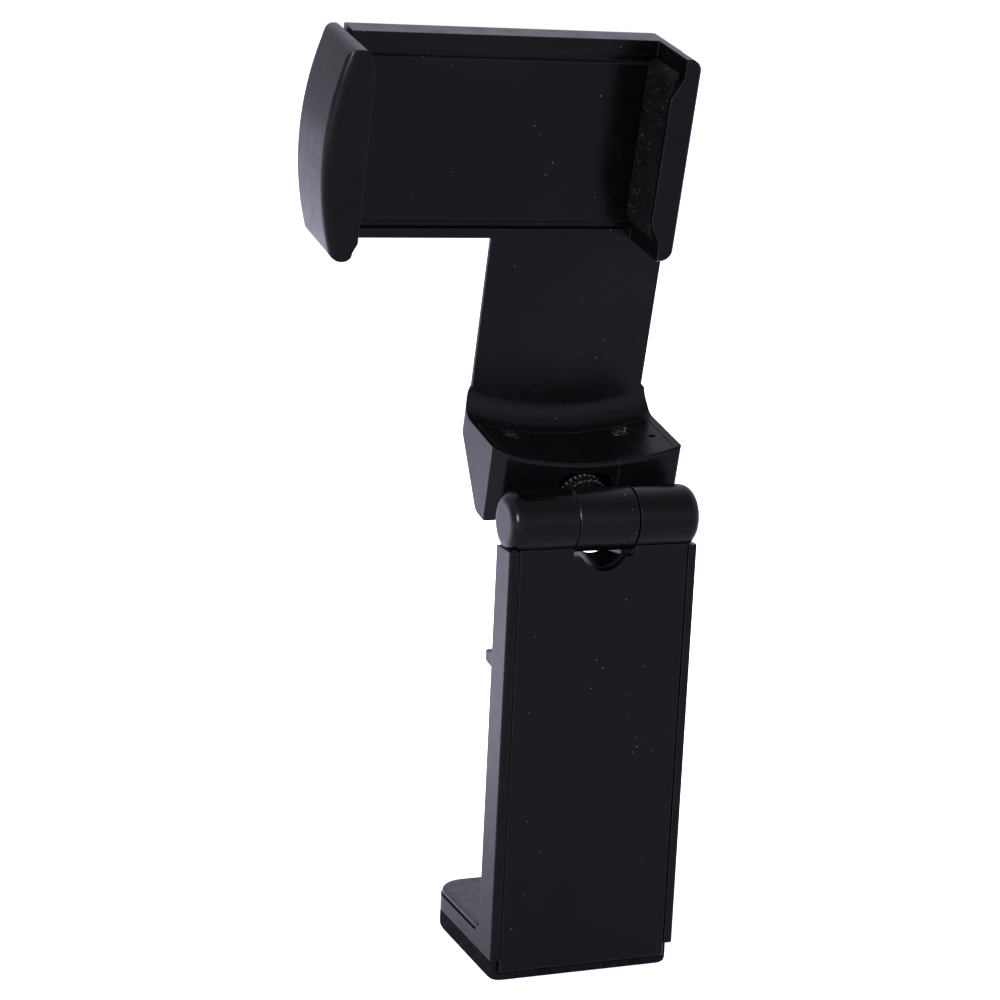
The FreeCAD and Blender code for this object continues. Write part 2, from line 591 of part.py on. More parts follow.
def arm_insert():
    slab = box("insert_slab", ("-insert_right", "insert_right"),
               ("block_front + side_wall + seam", "insert_back"), ("arm_screw_seat - 3", "rim_top"))
    band = common("insert_band", [slab, rod("insert_under", "y", ("0", "0", "cradle_w"), FAR,
                                            "trough_radius + insert_thick")])
    wall = box("insert_wall", ("wall_left", "front_seam"), ("block_front", "block_front + side_wall + 0.5"),
               ("wall_bottom", "rim_top"))
    blank = cut("insert_blank", fuse("insert_fused", [band, wall]), [front_corner("insert_corner", "seam")])
    cuts = [trough_room("insert_trough"), arch_room("insert_arch"),
            rod("ejector_mark", "z", ("19.2", "18", "11.2"), "4", "0.8")]
    for n, (x, v) in enumerate(arm_screw_places()):
        cuts.append(rod(f"insert_sink_{n}", "z", (x, v, "arm_screw_seat"), "8", "small_head + 2 * seam"))
        cuts.append(rod(f"insert_hole_{n}", "z", (x, v, "0"), "20", "small_bore + seam"))
    node("arm_insert", [cut("arm_insert_solid", blank, cuts)], leaning=True)
    screws = []
    for n, (x, v) in enumerate(arm_screw_places()):
        blank = fuse(f"arm_screw_blank_{n}", [
            rod(f"arm_screw_head_{n}", "z", (x, v, "arm_screw_seat"), "0.9", "small_head"),
            rod(f"arm_screw_shaft_{n}", "z", (x, v, "4.4"), "arm_screw_seat - 4.4", "small_shaft")])
        span = ("arm_screw_seat + 0.4", "arm_screw_seat + 3")
        screws.append(cut(f"arm_screw_{n}", blank, [
            box(f"arm_slot_a_{n}", (f"{x} - 1.3", f"{x} + 1.3"), (f"{v} - 0.25", f"{v} + 0.25"), span),
            box(f"arm_slot_b_{n}", (f"{x} - 0.25", f"{x} + 0.25"), (f"{v} - 1.3", f"{v} + 1.3"), span)]))
    node("arm_screws", screws, leaning=True)
    node("neck_bush", [ring("neck_bush_ring", ("0", "neck_front", "cradle_w"), "neck_back - neck_front",
                            "boss_radius + running_gap", "bush_outer")], leaning=True)


# ---------------------------------------------------------------- cradle


def cradle_screw_places():
    return [(x, w) for x in ("cradle_screw_left", "cradle_screw_right")
            for w in ("cradle_screw_low", "cradle_screw_high")]


def cradle_tray():
    across = ("tray_left", "tray_right")
    block = box("tray_block", across, ("tray_front", "tray_back"), ("tray_low", "tray_high"))
    wall = box("right_wall", ("wall_inner", "tray_right"), ("lip_front", "tray_back"),
               ("tray_low", "tray_high"))
    lip = padded("right_lip", "xz", [
        ("tray_right", "tray_low"), ("tray_right", "tray_high"), ("wall_inner", "tray_high"),
        ("wall_inner", "lip_step_high"), ("lip_inner", "lip_step_high - lip_step"),
        ("lip_inner", "lip_step_low + lip_step"), ("wall_inner", "lip_step_low"),
        ("wall_inner", "tray_low")], "lip_back - lip_front", offset="lip_front")
    lip = round_edges("right_lip_bends", lip, 1.8,
                      lambda edge, middle: along(edge, 1) and middle.x < sheet.tray_right - 1
                      and sheet.tray_low + 1 < middle.z < sheet.tray_high - 1)
    blank = fuse("tray_blank", [cut("tray_hollow", block, [
        box("tray_inside", ("tray_left - 1", "wall_inner"), ("tray_front - 1", "tray_floor"),
            ("bottom_rail", "top_rail"))]), wall, lip])
    blank = round_edges("tray_corners", blank, sheet.cradle_round,
                        lambda edge, middle: along(edge, 1) and near(middle.x, sheet.tray_right))
    blank = bevel_edges("tray_lip_edge", blank, 0.4,
                        lambda edge, middle: near(middle.y, sheet.lip_front)
                        and middle.x > sheet.wall_inner + 0.2)
    boss = rod("swivel_boss", "y", ("0", "tray_floor", "cradle_w"), "boss_end - tray_floor", "boss_radius")
    stops = [box(f"spring_stop_{n}", ("tray_left", "tray_left + stop_thick"),
                 ("plate_back + seam", "tray_floor + 0.5"), span)
             for n, span in enumerate(spring_spans())]
    cuts = [rod("boss_bore", "y", ("0", "tray_floor + 0.8", "cradle_w"), "20", "screw_bore")]
    for n, (x, w) in enumerate(cradle_screw_places()):
        cuts.append(rod(f"tray_hole_{n}", "y", (x, "tray_floor - 1", w), "4", "small_bore + seam"))
        cuts.append(rod(f"tray_sink_{n}", "y", (x, "tray_floor + 0.7", w), "4", "small_head + seam"))
    node("cradle_tray", [cut("cradle_tray_solid", fuse("tray_whole", [blank, boss] + stops), cuts)],
         leaning=True)


def spring_spans():
    """Where the two springs' stops and lugs lie up the cradle, below and above the tongue."""
    return [("plate_low + skirt + seam", "tongue_low - 2 * seam"),
            ("tongue_high + 2 * seam", "plate_high - skirt - seam")]


def cradle_plate():
    across = ("tray_left", "plate_right")
    plate = box("plate_face", across, ("tray_front", "plate_back"), ("plate_low", "plate_high"))
    plate = bevel_edges("plate_bevel", plate, 0.3,
                        lambda edge, middle: along(edge, 0) and near(middle.y, sheet.tray_front))
    skirts = [box(f"plate_skirt_{n}", across, ("plate_back - 0.5", "tray_floor"), span)
              for n, span in enumerate([("bottom_rail + seam", "plate_low + skirt"),
                                        ("plate_high - skirt", "top_rail - seam")])]
    places = cradle_screw_places()
    bosses = [rod(f"plate_boss_{n}", "y", (x, "plate_back - 0.3", w), "tray_floor - plate_back + 0.3",
                  "boss_outer") for n, (x, w) in enumerate(places)]
    bores = [rod(f"plate_bore_{n}", "y", (x, "tray_front + 0.8", w), "9", "small_bore")
             for n, (x, w) in enumerate(places)]
    node("cradle_plate", [cut("cradle_plate_solid", fuse("plate_blank", [plate] + skirts + bosses), bores)],
         leaning=True)
    node("cradle_screws", [
        screw(f"cradle_screw_{n}", (x, "tray_floor + 0.7", w), "0.8", "small_head",
              (x, "tray_front + 0.9", w), "tray_floor - tray_front - 0.2", "small_shaft",
              ("tray_floor + 1.1", "tray_back + 1"))
        for n, (x, w) in enumerate(places)], leaning=True)


def cradle_swivel():
    axis = "cradle_w"
    node("swivel_disc", [ring("disc", ("0", "tray_back", axis), "neck_front - tray_back - seam",
                              "boss_radius + seam", "disc_radius")], leaning=True)
    node("cradle_swivel_washer", [ring("top_washer", ("0", "boss_end", axis), "0.8", "screw_bore + seam",
                                       "washer_radius")], leaning=True)
    node("cradle_swivel_screw", [screw(
        "top_screw", ("0", "boss_end + 0.8", axis), "1.7", "3.6", ("0", "tray_floor + 1", axis),
        "boss_end - tray_floor - 0.2", "screw_radius", ("boss_end + 1.8", "boss_end + 5"))], leaning=True)


def jaw_pads():
    pad = box("right_pad_block", ("pad_face", "wall_inner"), ("lip_back + seam", "tray_front - seam"),
              ("pad_low", "pad_high"))
    pad = bevel_edges("right_jaw_pad_solid", pad, sheet.pad_bevel,
                      lambda edge, middle: along(edge, 1) and near(middle.x, sheet.pad_face))
    node("right_jaw_pad", [pad], leaning=True)
    left = box("left_pad_block", ("left_pad_back", "left_pad_face"), ("lip_back + seam", "tray_front - seam"),
               ("pad_low", "pad_high"))
    node("left_jaw_pad", [left], leaning=True)


def sliding_jaw():
    centre = ("0", "lip_front", "cradle_w")
    beyond = "-jaw_arc - 5"
    arc = common("jaw_arc_block", [
        rod("jaw_round", "y", centre, "jaw_back - lip_front", "jaw_arc"),
        box("jaw_side", (beyond, "jaw_inner"), ("0", FAR), ("tray_low", "tray_high"))])
    arc = round_edges("jaw_end_corners", arc, sheet.cradle_round,
                      lambda edge, middle: along(edge, 1) and middle.x < sheet.jaw_inner - 1)
    arc = round_edges("jaw_inner_corners", arc, sheet.jaw_front_round,
                      lambda edge, middle: along(edge, 1) and near(middle.x, sheet.jaw_inner))
    drum = rod("jaw_drum", "y", centre, "jaw_back - lip_front", "jaw_arc")
    drum = round_edges("jaw_drum_back", drum, sheet.jaw_back_round,
                       lambda edge, middle: isinstance(edge.Curve, Part.Circle)
                       and near(middle.y, sheet.jaw_back))
    drum = round_edges("jaw_drum_front", drum, sheet.jaw_front_round,
                       lambda edge, middle: isinstance(edge.Curve, Part.Circle)
                       and near(middle.y, sheet.lip_front))
    arc = common("jaw_arc_rounded", [arc, drum])
    lip = padded("left_lip", "xz", [
        ("jaw_inner - 1", "tray_low + 2"), ("jaw_inner", "tray_low + 2"), ("jaw_lip_inner", "lip_step_low"),
        ("jaw_lip_inner", "lip_step_high"), ("jaw_inner", "tray_high - 2"),
        ("jaw_inner - 1", "tray_high - 2")], "lip_back - lip_front", offset="lip_front")
    tongue = box("tongue", ("tongue_left", "tongue_right"), ("tongue_front", "tongue_back"),
                 ("tongue_low", "tongue_high"))
    lugs = [box(f"tongue_lug_{n}", ("tongue_right - lug_thick", "tongue_right"),
                ("tongue_front", "tongue_back"), (low, high))
            for n, (low, high) in enumerate([("plate_low + skirt + 2 * seam", "tongue_low + 1"),
                                             ("tongue_high - 1", "plate_high - skirt - 2 * seam")])]
    seat = box("left_pad_seat", ("left_pad_back", "jaw_inner + 3"), ("lip_back + seam", "tray_front - seam"),
               ("pad_low", "pad_high"))
    seat_blank = cut("jaw_seated", fuse("jaw_outer", [arc, lip]), [seat])
    node("sliding_jaw", [fuse("sliding_jaw_solid", [seat_blank, tongue] + lugs)], leaning=True)


def jaw_springs():
    coils = []
    for side, sign in (("low", "-"), ("high", "+")):
        start = ("tray_left + stop_thick", "spring_v", f"( plate_low + plate_high ) / 2 {sign} spring_offset")
        length = "tongue_right - lug_thick - tray_left - stop_thick"
        coils.append(cut(f"spring_{side}", rod(f"spring_tube_{side}", "x", start, length, "spring_radius"),
                         [rod(f"spring_hole_{side}", "x", start, length, "spring_bore")]))
    node("jaw_springs", coils, leaning=True)


def write_nodes():
    doc.recompute()
    failed = [item.Name for item in doc.Objects if {"Invalid", "Error"} & set(item.State)]
    failed += [item.Label for item in nodes if item.Shape.isNull() or not item.Shape.isValid()]
    if failed:
        raise RuntimeError("not made: " + ", ".join(failed))
    os.makedirs("parts", exist_ok=True)
    for item in nodes:
        item.Shape.exportStep(f"parts/{item.Label}.step")
        print(f"{item.Label:22s} {len(item.Shape.Solids)} solid(s) {item.Shape.Volume:9.1f} mm3")


for build in (clamp_body, front_cover, foot_sole, foot_grip_pad, hinge_pin, upper_jaw, centre_knuckle,
              detent_crown, base_swivel, arm_shell, arm_insert, cradle_tray, cradle_plate, cradle_swivel,
              jaw_pads, sliding_jaw, jaw_springs):
    build()
write_nodes()
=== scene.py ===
"""Looks of a folding clamp-on phone holder: moulded black plastic, rubber pads, dark screws, steel fittings.

Metres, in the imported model's own frame: +X along the hinge barrel, +Y to the back, +Z up,
origin under the sole.
"""
import json
import math

import bmesh
import bpy
from mathutils import Matrix, Vector, noise


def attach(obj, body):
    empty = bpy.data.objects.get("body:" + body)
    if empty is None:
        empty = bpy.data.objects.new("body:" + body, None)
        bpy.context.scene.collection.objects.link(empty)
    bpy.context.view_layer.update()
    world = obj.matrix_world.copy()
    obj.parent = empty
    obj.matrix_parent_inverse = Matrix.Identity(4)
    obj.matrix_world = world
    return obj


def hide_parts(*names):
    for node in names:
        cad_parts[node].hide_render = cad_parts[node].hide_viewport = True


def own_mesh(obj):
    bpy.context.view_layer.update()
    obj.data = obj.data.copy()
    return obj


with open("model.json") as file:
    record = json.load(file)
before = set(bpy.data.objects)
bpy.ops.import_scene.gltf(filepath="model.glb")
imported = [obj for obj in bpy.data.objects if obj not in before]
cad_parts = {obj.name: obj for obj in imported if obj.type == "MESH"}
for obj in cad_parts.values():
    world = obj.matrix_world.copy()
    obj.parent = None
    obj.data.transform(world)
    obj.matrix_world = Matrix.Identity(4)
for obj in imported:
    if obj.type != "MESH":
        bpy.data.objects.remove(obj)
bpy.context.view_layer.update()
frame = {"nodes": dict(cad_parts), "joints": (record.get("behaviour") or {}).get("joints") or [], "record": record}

MM = 0.001
NODES = frame["nodes"]
SLOT_OF = {part["node"]: part["material_slot"] for part in frame["record"]["subparts"]}
JOINTS = {joint["name"]: joint for joint in frame["joints"]}


# ---------------------------------------------------------------- camera, floor and light

CAMERA_AZIMUTH = math.radians(-21.86)
CAMERA_ELEVATION = math.radians(12.23)
CAMERA_ROLL = math.radians(2.71)
CAMERA_DISTANCE = 0.55817
CAMERA_TARGET = Vector((-0.02607, -0.020, 0.11433))
CAMERA_LENS = 91.36
CAMERA_SENSOR = 36.0

FLOOR_RADIUS = 6.0
FLOOR_SIDES = 96
FLOOR_DROP = 0.05 * MM
FLOOR_MOTTLE = 40.0
FLOOR_ROUGHNESS = 0.9
FLOOR_GREY = (0.78, 0.78, 0.82, 1.0)
FLOOR_WHITE = (0.82, 0.81, 0.86, 1.0)
FLOOR_GLOW = (0.79, 0.77, 1.0, 1.0)

# The glow changes in two steps along y: where each begins and ends, then the values it runs between.
FLOOR_NEAR = (0.0, 0.20)
FLOOR_STRENGTH = (0.20, 1.90)
FLOOR_FAR = (0.22, 0.70)
FLOOR_FADE = (1.0, 0.36)

# The sky's tones, and the spans of a direction's y and z in which they change over.
SKY_WHITE = (1.0, 1.0, 1.0, 1.0)
SKY_BEHIND_LOW = (0.75, 0.74, 0.90, 1.0)
SKY_BEHIND_HIGH = (1.20, 1.18, 1.42, 1.0)
SKY_FRONT_LOW = (1.45, 1.44, 1.70, 1.0)
SKY_FRONT_HIGH = (0.58, 0.58, 0.69, 1.0)
SKY_BACKWARD = (-0.35, 0.45)
SKY_UPWARD = (0.15, 0.85)

GLINT_PLACE = Vector((-1.44, -0.60, 0.52))
GLINT_TARGET = Vector((0.0, 0.0, 0.13))
GLINT_SIDE = 0.18
GLINT_POWER = 26.0


def add_camera():
    """The camera looks at the target from its azimuth and elevation, rolled a little about its own axis."""
    back = Vector((math.cos(CAMERA_ELEVATION) * math.sin(CAMERA_AZIMUTH),
                   -math.cos(CAMERA_ELEVATION) * math.cos(CAMERA_AZIMUTH),
                   math.sin(CAMERA_ELEVATION)))
    level = Vector((math.cos(CAMERA_AZIMUTH), math.sin(CAMERA_AZIMUTH), 0.0))
    upright = back.cross(level)
    right = level * math.cos(CAMERA_ROLL) + upright * math.sin(CAMERA_ROLL)
    up = upright * math.cos(CAMERA_ROLL) - level * math.sin(CAMERA_ROLL)
    turn = Matrix((right, up, back)).transposed().to_4x4()
    data = bpy.data.cameras.new("camera")
    data.lens = CAMERA_LENS
    data.sensor_width = CAMERA_SENSOR
    camera = bpy.data.objects.new("camera", data)
    camera.matrix_world = Matrix.Translation(CAMERA_TARGET + back * CAMERA_DISTANCE) @ turn
    bpy.context.scene.collection.objects.link(camera)
    bpy.context.scene.camera = camera


def add_glint():
    """A small square lamp to the left and a little in front of the object, for its highlights."""
    data = bpy.data.lights.new("glint", "AREA")
    data.shape = "RECTANGLE"
    data.size = GLINT_SIDE
    data.size_y = GLINT_SIDE
    data.energy = GLINT_POWER
    light = bpy.data.objects.new("glint", data)
    aim = (GLINT_TARGET - GLINT_PLACE).to_track_quat("-Z", "Y").to_matrix().to_4x4()
    light.matrix_world = Matrix.Translation(GLINT_PLACE) @ aim
    bpy.context.scene.collection.objects.link(light)


def add_sky():
    """A studio that looks plain white and lights the object most from low in front and from high behind."""
    world = bpy.data.worlds.new("studio")
    world.use_nodes = True
    bpy.context.scene.world = world
    nodes = NodeSet(world.node_tree, "Generated")
    split = nodes.add("ShaderNodeSeparateXYZ")
    nodes.join(nodes.place, split.inputs[0])
    behind = nodes.window(split.outputs["Y"], *SKY_BACKWARD, smooth=True)
    high = nodes.window(split.outputs["Z"], *SKY_UPWARD, smooth=True)
    glow = nodes.mixed(behind, nodes.mixed(high, SKY_FRONT_LOW, SKY_FRONT_HIGH),
                       nodes.mixed(high, SKY_BEHIND_LOW, SKY_BEHIND_HIGH))
    seen = nodes.add("ShaderNodeLightPath").outputs["Is Camera Ray"]
    background = world.node_tree.nodes["Background"]
    nodes.join(nodes.mixed(seen, glow, SKY_WHITE), background.inputs["Color"])


def add_floor():
    """A disc of pale paper that glows, most about 0.2 m behind the object, and reads as white to the eye."""
    mesh = bpy.data.meshes.new("floor")
    shape = bmesh.new()
    bmesh.ops.create_circle(shape, cap_ends=True, radius=FLOOR_RADIUS, segments=FLOOR_SIDES)
    shape.to_mesh(mesh)
    shape.free()
    floor = bpy.data.objects.new("floor", mesh)
    floor.location.z = -FLOOR_DROP
    bpy.context.scene.collection.objects.link(floor)
    material, nodes, shader = new_material("floor_paper")
    tone = nodes.noise(scale=FLOOR_MOTTLE, detail=2.0)
    nodes.join(nodes.mixed(tone, FLOOR_GREY, FLOOR_WHITE), shader.inputs["Base Color"])
    shader.inputs["Roughness"].default_value = FLOOR_ROUGHNESS
    shader.inputs["Emission Color"].default_value = FLOOR_GLOW
    split = nodes.add("ShaderNodeSeparateXYZ")
    nodes.join(nodes.place, split.inputs[0])
    rise = nodes.window(split.outputs["Y"], *FLOOR_NEAR, *FLOOR_STRENGTH, smooth=True)
    fade = nodes.window(split.outputs["Y"], *FLOOR_FAR, *FLOOR_FADE, smooth=True)
    seen = nodes.add("ShaderNodeLightPath").outputs["Is Camera Ray"]
    nodes.join(nodes.total(nodes.times(rise, fade), seen), shader.inputs["Emission Strength"])
    floor.data.materials.append(material)


# ---------------------------------------------------------------- materials

BEVEL_SAMPLES = 4
# The parts of a noise's range, and of the cosine between two normals, that masks stretch over 0 to 1.
NOISE_CORE = (0.35, 0.65)
NOISE_SPREAD = (0.3, 0.7)
EDGE_TURN = (0.99, 0.75)

PLASTIC_IOR = 1.20
PLASTIC_DEEP = (0.80, 0.79, 0.95)
PLASTIC_PALE = (1.20, 1.18, 1.45)
PLASTIC_UNEVEN = (-0.05, 0.06)
PLASTIC_ROUNDING = 0.3 * MM
PLASTIC_GRAIN_DEPTH = 0.03 * MM
# Paler sharp edges: partly rubbed wear, partly a painted edge highlight.
EDGE_WEAR_AND_HIGHLIGHT_WIDTH = 0.35 * MM
EDGE_WEAR_AND_HIGHLIGHT_SHARE = 0.35
EDGE_WEAR_AND_HIGHLIGHT_TONE = (0.045, 0.045, 0.052, 1.0)
DUST_SHARE = 0.5
DUST_PATCHES = (0.55, 0.62)
DUST_TONE = (0.22, 0.22, 0.24, 1.0)

RUBBER_IOR = 1.3
RUBBER_DEEP = (0.65, 0.65, 0.72)
RUBBER_PALE = (1.45, 1.45, 1.65)
RUBBER_UNEVEN = (-0.08, 0.08)
RUBBER_ROUNDING = 0.4 * MM
RUBBER_SKIN_BUMP = 0.35
RUBBER_SKIN_DEPTH = 0.08 * MM
MINERAL_PATCHES = (0.48, 0.60)
MINERAL_TONE = (0.10, 0.10, 0.115, 1.0)

METAL_DEEP = (0.75, 0.75, 0.78)
METAL_PALE = (1.15, 1.15, 1.17)
METAL_UNEVEN = (-0.08, 0.1)
METAL_ROUNDING = 0.12 * MM
METAL_LINE_BUMP = 0.15
METAL_LINE_DEPTH = 0.01 * MM


class NodeSet:
    """Short ways to add the nodes that the materials and the sky share; textures follow each piece's mesh."""

    def __init__(self, tree, place="Object"):
        self.tree = tree
        self.place = tree.nodes.new("ShaderNodeTexCoord").outputs[place]

    def add(self, kind, **settings):
        item = self.tree.nodes.new(kind)
        for name, value in settings.items():
            setattr(item, name, value)
        return item

    def join(self, source, target):
        self.tree.links.new(source, target)

    def noise(self, scale, detail, stretch=None):
        """Noise with features about one scale-th of a metre across."""
        item = self.add("ShaderNodeTexNoise")
        item.inputs["Scale"].default_value = scale
        item.inputs["Detail"].default_value = detail
        if stretch is None:
            self.join(self.place, item.inputs["Vector"])
        else:
            mapping = self.add("ShaderNodeMapping")
            mapping.inputs["Scale"].default_value = stretch
            self.join(self.place, mapping.inputs["Vector"])
            self.join(mapping.outputs[0], item.inputs["Vector"])
        return item.outputs["Fac"]

    def spots(self, scale, size):
        """1 in small round spots, 0 elsewhere; the size is a share of a cell, not metres."""
        cells = self.add("ShaderNodeTexVoronoi")
        cells.inputs["Scale"].default_value = scale
        self.join(self.place, cells.inputs["Vector"])
        return self.window(cells.outputs["Distance"], size, size * 0.5)

    def window(self, value, low, high, out_low=0.0, out_high=1.0, smooth=False):
        """The value with low..high stretched to out_low..out_high, and held at the ends."""
        item = self.add("ShaderNodeMapRange", interpolation_type="SMOOTHSTEP" if smooth else "LINEAR")
        item.inputs["From Min"].default_value = low
        item.inputs["From Max"].default_value = high
        item.inputs["To Min"].default_value = out_low
        item.inputs["To Max"].default_value = out_high
        self.join(value, item.inputs["Value"])
        return item.outputs["Result"]

    def times(self, first, second):
        return self.sum_or_product("MULTIPLY", first, second)

    def total(self, first, second):
        return self.sum_or_product("ADD", first, second)

    def sum_or_product(self, operation, first, second):
        """Either value can be a socket or a plain float."""
        item = self.add("ShaderNodeMath", operation=operation)
        for socket, value in zip(item.inputs, (first, second)):
            if isinstance(value, float):
                socket.default_value = value
            else:
                self.join(value, socket)
        return item.outputs[0]

    def mixed(self, factor, first, second):
        """From the first colour to the second; either can be a socket or a plain tuple."""
        item = self.add("ShaderNodeMix", data_type="RGBA")
        self.join(factor, item.inputs["Factor"])
        for name, value in (("A", first), ("B", second)):
            if isinstance(value, tuple):
                item.inputs[name].default_value = value
            else:
                self.join(value, item.inputs[name])
        return item.outputs["Result"]

    def mottled(self, patches, tone, deep, pale):
        """The tone, wandering with the patches between its deep and its pale tint."""
        shades = [tuple(tone * share for share in tint) + (1.0,) for tint in (deep, pale)]
        return self.mixed(patches, *shades)

    def varied(self, patches, middle, uneven):
        """The middle value, moved down and up with the patches by the two uneven amounts."""
        down, up = uneven
        return self.window(patches, *NOISE_SPREAD, middle + down, middle + up)

    def rounded_normal(self, radius):
        """The surface normal as if every sharp edge were rounded to the radius."""
        item = self.add("ShaderNodeBevel", samples=BEVEL_SAMPLES)
        item.inputs["Radius"].default_value = radius
        return item.outputs[0]

    def edge_mask(self, radius):
        """1 along sharp edges, fading over the radius, from how far a rounded normal turns away."""
        turn = self.add("ShaderNodeVectorMath", operation="DOT_PRODUCT")
        self.join(self.rounded_normal(radius), turn.inputs[0])
        self.join(self.add("ShaderNodeNewGeometry").outputs["Normal"], turn.inputs[1])
        return self.window(turn.outputs["Value"], *EDGE_TURN)

    def bump(self, height, strength, depth, normal):
        item = self.add("ShaderNodeBump")
        item.inputs["Strength"].default_value = strength
        item.inputs["Distance"].default_value = depth
        self.join(height, item.inputs["Height"])
        self.join(normal, item.inputs["Normal"])
        return item.outputs[0]


def new_material(name):
    material = bpy.data.materials.new(name)
    material.use_nodes = True
    tree = material.node_tree
    tree.nodes.clear()
    shader = tree.nodes.new("ShaderNodeBsdfPrincipled")
    output = tree.nodes.new("ShaderNodeOutputMaterial")
    tree.links.new(shader.outputs[0], output.inputs["Surface"])
    return material, NodeSet(tree), shader


def moulded_plastic(name, tone, roughness, grain):
    """Black moulded plastic: fine spark-eroded grain, faint flow marks, a little dust, edges paler as rubbed wear
    and a painted highlight.
    """
    material, nodes, shader = new_material(name)
    flow = nodes.window(nodes.noise(scale=55.0, detail=4.0), *NOISE_CORE)
    base = nodes.mottled(flow, tone, PLASTIC_DEEP, PLASTIC_PALE)
    # Every sharp edge is mixed towards a paler tone: partly rubbed wear, partly a painted edge highlight.
    worn_and_highlit = nodes.mixed(nodes.times(nodes.edge_mask(EDGE_WEAR_AND_HIGHLIGHT_WIDTH), EDGE_WEAR_AND_HIGHLIGHT_SHARE), base, EDGE_WEAR_AND_HIGHLIGHT_TONE)
    dusty = nodes.window(nodes.noise(scale=90.0, detail=1.0), *DUST_PATCHES)
    specks = nodes.times(nodes.spots(scale=380.0, size=0.07), dusty)
    colour = nodes.mixed(nodes.times(specks, DUST_SHARE), worn_and_highlit, DUST_TONE)
    nodes.join(colour, shader.inputs["Base Color"])
    smears = nodes.noise(scale=260.0, detail=4.0)
    nodes.join(nodes.varied(smears, roughness, PLASTIC_UNEVEN), shader.inputs["Roughness"])
    shader.inputs["IOR"].default_value = PLASTIC_IOR
    fine = nodes.noise(scale=4200.0, detail=3.0)
    skin = nodes.bump(fine, grain, PLASTIC_GRAIN_DEPTH, nodes.rounded_normal(PLASTIC_ROUNDING))
    nodes.join(skin, shader.inputs["Normal"])
    return material


def soft_rubber(name, tone, roughness, speckle, gloss):
    """Dull rubber with a pebbled skin and pale mineral specks."""
    material, nodes, shader = new_material(name)
    cloud = nodes.window(nodes.noise(scale=700.0, detail=4.0), *NOISE_CORE)
    base = nodes.mottled(cloud, tone, RUBBER_DEEP, RUBBER_PALE)
    mineral = nodes.window(nodes.noise(scale=400.0, detail=1.0), *MINERAL_PATCHES)
    specks = nodes.times(nodes.spots(scale=1500.0, size=0.16), mineral)
    colour = nodes.mixed(nodes.times(specks, speckle), base, MINERAL_TONE)
    nodes.join(colour, shader.inputs["Base Color"])
    smears = nodes.noise(scale=500.0, detail=3.0)
    nodes.join(nodes.varied(smears, roughness, RUBBER_UNEVEN), shader.inputs["Roughness"])
    shader.inputs["IOR"].default_value = RUBBER_IOR
    shader.inputs["Specular IOR Level"].default_value = gloss
    pebbles = nodes.noise(scale=1800.0, detail=4.0)
    skin = nodes.bump(pebbles, RUBBER_SKIN_BUMP, RUBBER_SKIN_DEPTH, nodes.rounded_normal(RUBBER_ROUNDING))
    nodes.join(skin, shader.inputs["Normal"])
    return material


def metal(name, tone, roughness, stretch):
    """Metal with faint stains and a fine grain, drawn out into lines where the stretch is uneven."""
    material, nodes, shader = new_material(name)
    stain = nodes.window(nodes.noise(scale=300.0, detail=4.0), *NOISE_SPREAD)
    nodes.join(nodes.mottled(stain, tone, METAL_DEEP, METAL_PALE), shader.inputs["Base Color"])
    lines = nodes.noise(scale=2500.0, detail=2.0, stretch=stretch)
    nodes.join(nodes.varied(lines, roughness, METAL_UNEVEN), shader.inputs["Roughness"])
    shader.inputs["Metallic"].default_value = 1.0
    skin = nodes.bump(lines, METAL_LINE_BUMP, METAL_LINE_DEPTH, nodes.rounded_normal(METAL_ROUNDING))
    nodes.join(skin, shader.inputs["Normal"])
    return material


def make_materials():
    """One material for each slot of the record."""
    return {
        "body_plastic": moulded_plastic("body_plastic", tone=0.0014, roughness=0.21, grain=0.16),
        "cover_plastic": moulded_plastic("cover_plastic", tone=0.0012, roughness=0.36, grain=0.30),
        "knuckle_plastic": moulded_plastic("knuckle_plastic", tone=0.0017, roughness=0.27, grain=0.18),
        "arm_plastic": moulded_plastic("arm_plastic", tone=0.0024, roughness=0.25, grain=0.20),
        "cradle_plastic": moulded_plastic("cradle_plastic", tone=0.0012, roughness=0.24, grain=0.18),
        "sole_rubber": soft_rubber("sole_rubber", tone=0.005, roughness=0.80, speckle=0.25, gloss=0.04),
        "foot_rubber": soft_rubber("foot_rubber", tone=0.009, roughness=0.38, speckle=0.15, gloss=0.70),
        "pad_rubber": soft_rubber("pad_rubber", tone=0.0018, roughness=0.60, speckle=1.6, gloss=0.12),
        "dark_metal": metal("dark_metal", tone=0.25, roughness=0.25, stretch=(1.0, 1.0, 1.0)),
        "steel": metal("steel", tone=0.55, roughness=0.28, stretch=(0.1, 1.0, 1.0)),
    }


def dress_cad_nodes(materials):
    for name, item in NODES.items():
        item.data.materials.clear()
        item.data.materials.append(materials[SLOT_OF[name]])


def dress(piece, slot, materials):
    piece.data.materials.clear()
    piece.data.materials.append(materials[slot])


# ---------------------------------------------------------------- rubber pieces

# How far the arm leans at rest, from the way its own swivel axis tips.
LEAN = math.atan2(JOINTS["base_swivel"]["axis"][2], JOINTS["base_swivel"]["axis"][1])
PEBBLE_SCALE = 900.0
SMOOTHING_ROUNDS = 8
SMOOTHING_SHARE = 0.5


